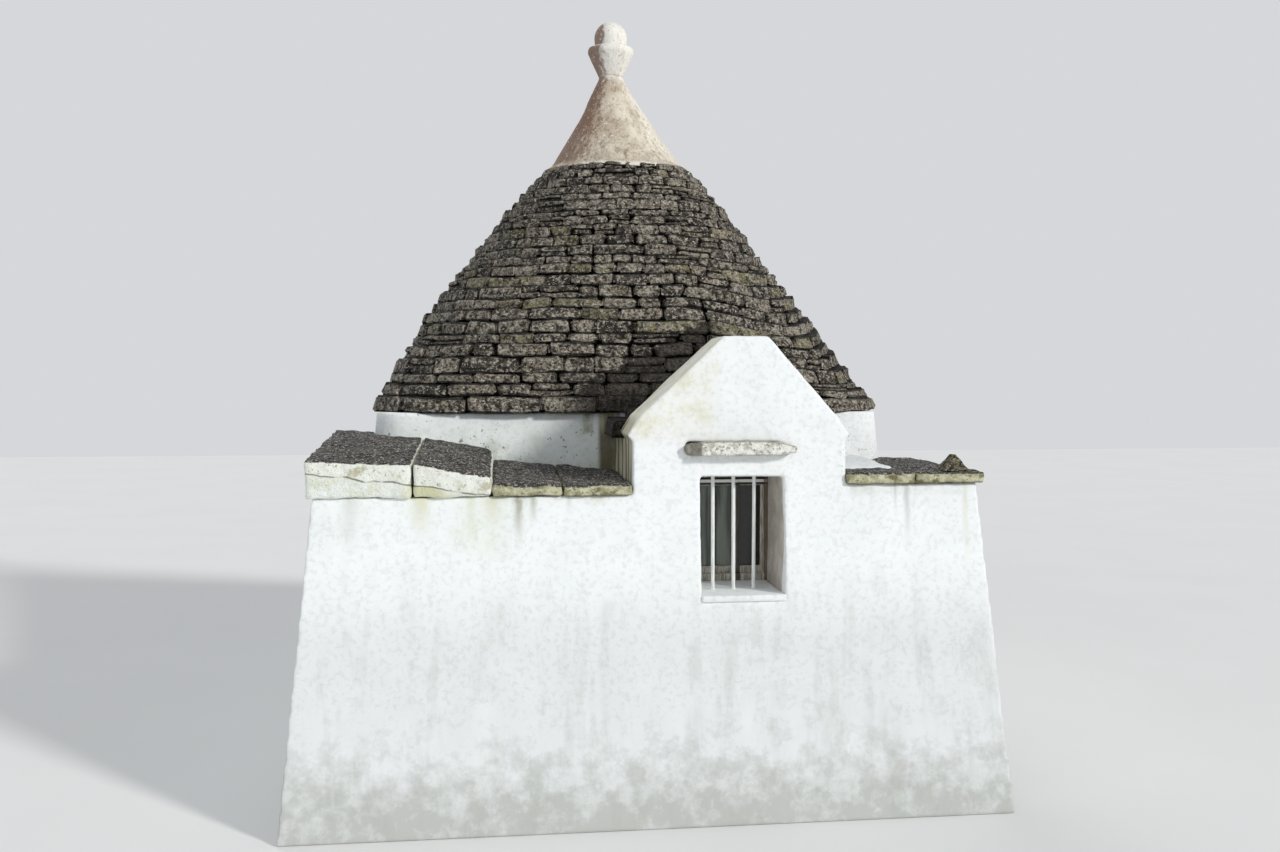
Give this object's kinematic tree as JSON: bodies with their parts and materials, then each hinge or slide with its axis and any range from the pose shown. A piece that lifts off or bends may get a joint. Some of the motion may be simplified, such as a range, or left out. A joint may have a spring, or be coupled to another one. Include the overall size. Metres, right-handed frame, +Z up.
{
  "type": "trullo house",
  "caption": "Small whitewashed stone house with a stepped conical dry-stone roof, a gabled window bay and a round pinnacle.",
  "frame": {"origin": "on the cone's axis at ground level, on the floor's underside", "axes": "+Z up, -Y out through the gabled window bay, +X to the right seen from the street"},
  "size_m": [4.2336, 5.1088, 5.38],
  "materials": {
    "cone_stone": "weathered limestone slabs, rough, mossy",
    "floor_stone": "worn limestone floor",
    "frame_paint": "grey-white paint on wood",
    "glass": "window glass",
    "hood_stone": "pale limestone slab, rough",
    "ledge_stone": "limestone slabs, dark on top, pale at the edge",
    "plaster": "lime plaster, streaked",
    "vault_stone": "bare limestone inside the house",
    "whitewash": "limewash on rubble masonry, matt, stained"
  },
  "bodies": {
    "root": {"back_wall_left": "whitewash", "back_wall_right": "whitewash", "bay_ceiling": "whitewash", "bay_lintel": "whitewash", "bay_pier_left": "whitewash", "bay_pier_right": "whitewash", "bay_roof_left": "cone_stone", "bay_roof_right": "cone_stone", "door_lintel": "hood_stone", "door_threshold": "floor_stone", "front_wall_left": "whitewash", "front_wall_right": "whitewash", "gable_front": "whitewash", "hood_slab": "hood_stone", "ledge_slab_corner": "ledge_stone", "ledge_slab_tilted": "ledge_stone", "ledge_slabs_back": "ledge_stone", "ledge_slabs_left": "ledge_stone", "ledge_slabs_right": "ledge_stone", "ledge_slabs_sides": "ledge_stone", "left_side_wall": "whitewash", "pinnacle_ball": "plaster", "pinnacle_cup": "plaster", "plaster_cap": "plaster", "pyramid_stone": "cone_stone", "right_side_wall": "whitewash", "roof_tier_1": "cone_stone", "roof_tier_2": "cone_stone", "roof_tier_3": "cone_stone", "roof_tier_4": "cone_stone", "room_floor": "floor_stone", "upper_wall_back": "whitewash", "upper_wall_front_left": "whitewash", "upper_wall_front_right": "whitewash", "upper_wall_left": "whitewash", "upper_wall_right": "whitewash", "vault_keystone": "vault_stone", "vault_ring_1": "vault_stone", "vault_ring_2": "vault_stone", "vault_ring_3": "vault_stone", "vault_ring_4": "vault_stone", "window_breast_wall": "whitewash", "window_frame": "frame_paint", "window_glass": "glass", "window_leaf_left": "frame_paint", "window_leaf_right": "frame_paint", "window_sill": "whitewash"}
  },
  "joints": []
}
